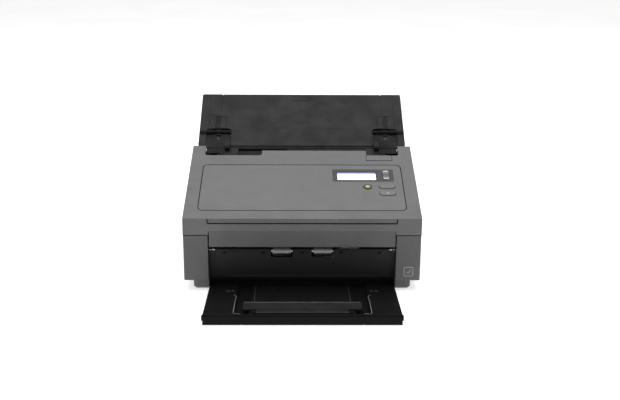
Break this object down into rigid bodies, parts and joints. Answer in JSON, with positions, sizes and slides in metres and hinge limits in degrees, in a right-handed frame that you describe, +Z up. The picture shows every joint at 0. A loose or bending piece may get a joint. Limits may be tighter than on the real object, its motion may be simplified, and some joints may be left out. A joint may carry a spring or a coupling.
{
  "type": "sheet fed document scanner",
  "caption": "Desktop sheet fed scanner: sloping lid with display and keys, folding input tray with side guides, and a slide-out output tray below the paper exit.",
  "frame": {"origin": "middle of the bounding box's bottom face, on the surface that the rubber feet stand on", "axes": "+X to the user's right, +Y from the output tray to the input tray at the back, +Z up"},
  "size_m": [0.333, 0.4077, 0.2224],
  "materials": {
    "cover_grey": "fine satin moulding texture",
    "body_grey": "fine satin moulding texture",
    "panel_grey": "fine satin",
    "bezel_grey": "satin",
    "tray_dark": "satin",
    "tray_black": "satin black",
    "inner_black": "matt black",
    "lcd_frame": "semi gloss",
    "lcd_glass": "smooth display window",
    "key_grey": "satin",
    "lens_green": "translucent lens",
    "power_dark": "semi gloss",
    "steel": "zinc plated sheet",
    "shaft_steel": "ground bar",
    "roller_silver": "smooth silver sleeve",
    "roller_rubber": "ground rubber",
    "gear_white": "moulded acetal",
    "board_green": "solder mask",
    "port_metal": "plated shell",
    "port_black": "moulded",
    "motor_metal": "plated can",
    "sensor_black": "moulded",
    "sensor_glass": "polished strip",
    "foot_rubber": "matt rubber",
    "screw_steel": "black zinc",
    "pin_dark": "black oxide"
  },
  "bodies": {
    "base": {"base_plinth": "body_grey", "rubber_feet": "foot_rubber", "base_plate": "steel", "left_side_cover": "body_grey", "right_side_cover": "body_grey", "rear_cover": "body_grey", "case_screws": "screw_steel", "stacker_wall": "inner_black", "lower_guide": "inner_black", "hopper": "inner_black", "left_frame": "steel", "right_frame": "steel", "cross_stays": "shaft_steel", "lower_sensor_bar": "sensor_black", "lower_sensor_glass": "sensor_glass", "main_board": "board_green", "usb_port": "port_metal", "dc_jack": "port_black", "main_motor": "motor_metal", "cover_hinge_pins": "pin_dark"},
    "cover": {"top_cover": "cover_grey", "front_bezel": "bezel_grey", "control_panel": "panel_grey", "lcd_bezel": "lcd_frame", "lcd_screen": "lcd_glass", "panel_board": "board_green", "upper_guide": "inner_black", "upper_sensor_bar": "sensor_black", "upper_sensor_glass": "sensor_glass"},
    "release_lever": {"release_lever": "cover_grey"},
    "up_key": {"up_key": "key_grey"},
    "down_key": {"down_key": "key_grey"},
    "stop_button": {"stop_button": "key_grey"},
    "start_button": {"start_button": "key_grey"},
    "power_button": {"power_button": "power_dark", "power_lens": "lens_green"},
    "feed_roller": {"feed_shaft": "shaft_steel", "feed_rollers": "roller_rubber", "feed_gear": "gear_white"},
    "exit_roller": {"exit_shaft": "shaft_steel", "exit_rollers": "roller_silver", "exit_gear": "gear_white"},
    "pick_roller": {"pick_shaft": "shaft_steel", "pick_rollers": "roller_rubber", "pick_gear": "gear_white"},
    "exit_idler": {"exit_idler": "gear_white"},
    "pick_idler": {"pick_idler": "gear_white"},
    "motor_pinion": {"motor_pinion": "port_metal"},
    "exit_pinch": {"exit_pinch_rollers": "roller_silver"},
    "feed_pinch": {"feed_pinch_rollers": "roller_silver"},
    "brake_roller": {"brake_roller": "roller_rubber"},
    "left_guide": {"left_guide": "tray_dark"},
    "right_guide": {"right_guide": "tray_dark"},
    "guide_pinion": {"guide_pinion": "gear_white"},
    "input_tray": {"input_tray": "tray_dark", "tray_hinge_pins": "shaft_steel"},
    "input_extension": {"input_extension": "tray_dark"},
    "output_tray": {"output_tray": "tray_black"},
    "output_extension": {"output_extension": "tray_black"},
    "output_stopper": {"output_stopper": "tray_black"}
  },
  "joints": [
    {"name": "cover_hinge", "type": "hinge", "parent": "base", "child": "cover", "pos_m": [0, -0.0814, 0.07], "axis": [1, 0, 0], "range_deg": [0, 75]},
    {"name": "release_lever_hinge", "type": "hinge", "parent": "cover", "child": "release_lever", "pos_m": [0, 0.06399, 0.14947], "axis": [1, 0, 0], "range_deg": [0, 14], "stiffness_Nm_per_rad": 0.06, "springref_deg": -14.32},
    {"name": "up_key_press", "type": "slide", "parent": "cover", "child": "up_key", "axis": [0, 0.2995, -0.9541], "range_m": [0, 0.001], "stiffness_N_per_m": 300, "springref_m": -0.001},
    {"name": "down_key_press", "type": "slide", "parent": "cover", "child": "down_key", "axis": [0, 0.2995, -0.9541], "range_m": [0, 0.001], "stiffness_N_per_m": 300, "springref_m": -0.001},
    {"name": "stop_button_press", "type": "slide", "parent": "cover", "child": "stop_button", "axis": [0, 0.2995, -0.9541], "range_m": [0, 0.001], "stiffness_N_per_m": 300, "springref_m": -0.001},
    {"name": "start_button_press", "type": "slide", "parent": "cover", "child": "start_button", "axis": [0, 0.2995, -0.9541], "range_m": [0, 0.001], "stiffness_N_per_m": 300, "springref_m": -0.001},
    {"name": "power_button_press", "type": "slide", "parent": "cover", "child": "power_button", "axis": [0, 0.2995, -0.9541], "range_m": [0, 0.001], "stiffness_N_per_m": 300, "springref_m": -0.001},
    {"name": "feed_spin", "type": "hinge", "parent": "base", "child": "feed_roller", "pos_m": [0, -0.00396, 0.09271], "axis": [1, 0, 0], "continuous": true},
    {"name": "exit_spin", "type": "hinge", "parent": "base", "child": "exit_roller", "pos_m": [0, -0.0714, 0.05492], "axis": [1, 0, 0], "continuous": true},
    {"name": "pick_spin", "type": "hinge", "parent": "base", "child": "pick_roller", "pos_m": [0, 0.03991, 0.11572], "axis": [1, 0, 0], "continuous": true},
    {"name": "exit_idler_spin", "type": "hinge", "parent": "base", "child": "exit_idler", "pos_m": [0, -0.03602, 0.06879], "axis": [1, 0, 0], "continuous": true},
    {"name": "pick_idler_spin", "type": "hinge", "parent": "base", "child": "pick_idler", "pos_m": [0, 0.01955, 0.10122], "axis": [1, 0, 0], "continuous": true},
    {"name": "motor_spin", "type": "hinge", "parent": "base", "child": "motor_pinion", "pos_m": [0, -0.01076, 0.04605], "axis": [1, 0, 0], "continuous": true},
    {"name": "exit_pinch_spin", "type": "hinge", "parent": "cover", "child": "exit_pinch", "pos_m": [0, -0.0778, 0.06601], "axis": [1, 0, 0], "continuous": true},
    {"name": "feed_pinch_spin", "type": "hinge", "parent": "cover", "child": "feed_pinch", "pos_m": [0, -0.01161, 0.10596], "axis": [1, 0, 0], "continuous": true},
    {"name": "brake_spin", "type": "hinge", "parent": "cover", "child": "brake_roller", "pos_m": [0, 0.03151, 0.13027], "axis": [1, 0, 0], "continuous": true},
    {"name": "right_guide_slide", "type": "slide", "parent": "base", "child": "right_guide", "axis": [-1, 0, 0], "range_m": [0, 0.082]},
    {"name": "left_guide_slide", "type": "slide", "parent": "base", "child": "left_guide", "axis": [1, 0, 0], "range_m": [0, 0.082]},
    {"name": "guide_pinion_spin", "type": "hinge", "parent": "base", "child": "guide_pinion", "pos_m": [0, 0.08894, 0.1498], "axis": [0, -0.5, 0.866], "range_deg": [-784, 0]},
    {"name": "input_tray_hinge", "type": "hinge", "parent": "base", "child": "input_tray", "pos_m": [0, 0.12638, 0.17835], "axis": [1, 0, 0], "range_deg": [0, 166]},
    {"name": "input_extension_slide", "type": "slide", "parent": "input_tray", "child": "input_extension", "axis": [0, 0.866, 0.5], "range_m": [0, 0.06]},
    {"name": "output_tray_slide", "type": "slide", "parent": "base", "child": "output_tray", "axis": [0, 1, 0], "range_m": [0, 0.11]},
    {"name": "output_extension_slide", "type": "slide", "parent": "output_tray", "child": "output_extension", "axis": [0, -0.9978, 0.0663], "range_m": [0, 0.08]},
    {"name": "output_stopper_hinge", "type": "hinge", "parent": "output_extension", "child": "output_stopper", "pos_m": [0, -0.1897, 0.01226], "axis": [1, 0, 0], "range_deg": [0, 100]}
  ],
  "couplings": [
    {"joint": "exit_spin", "follows": "feed_spin", "ratio": 1.2},
    {"joint": "pick_spin", "follows": "feed_spin", "ratio": 1},
    {"joint": "exit_idler_spin", "follows": "feed_spin", "ratio": -0.42857},
    {"joint": "pick_idler_spin", "follows": "feed_spin", "ratio": -0.92308},
    {"joint": "motor_spin", "follows": "feed_spin", "ratio": 2},
    {"joint": "left_guide_slide", "follows": "right_guide_slide", "ratio": 1},
    {"joint": "guide_pinion_spin", "follows": "right_guide_slide", "rad_per_m": -166.67}
  ]
}
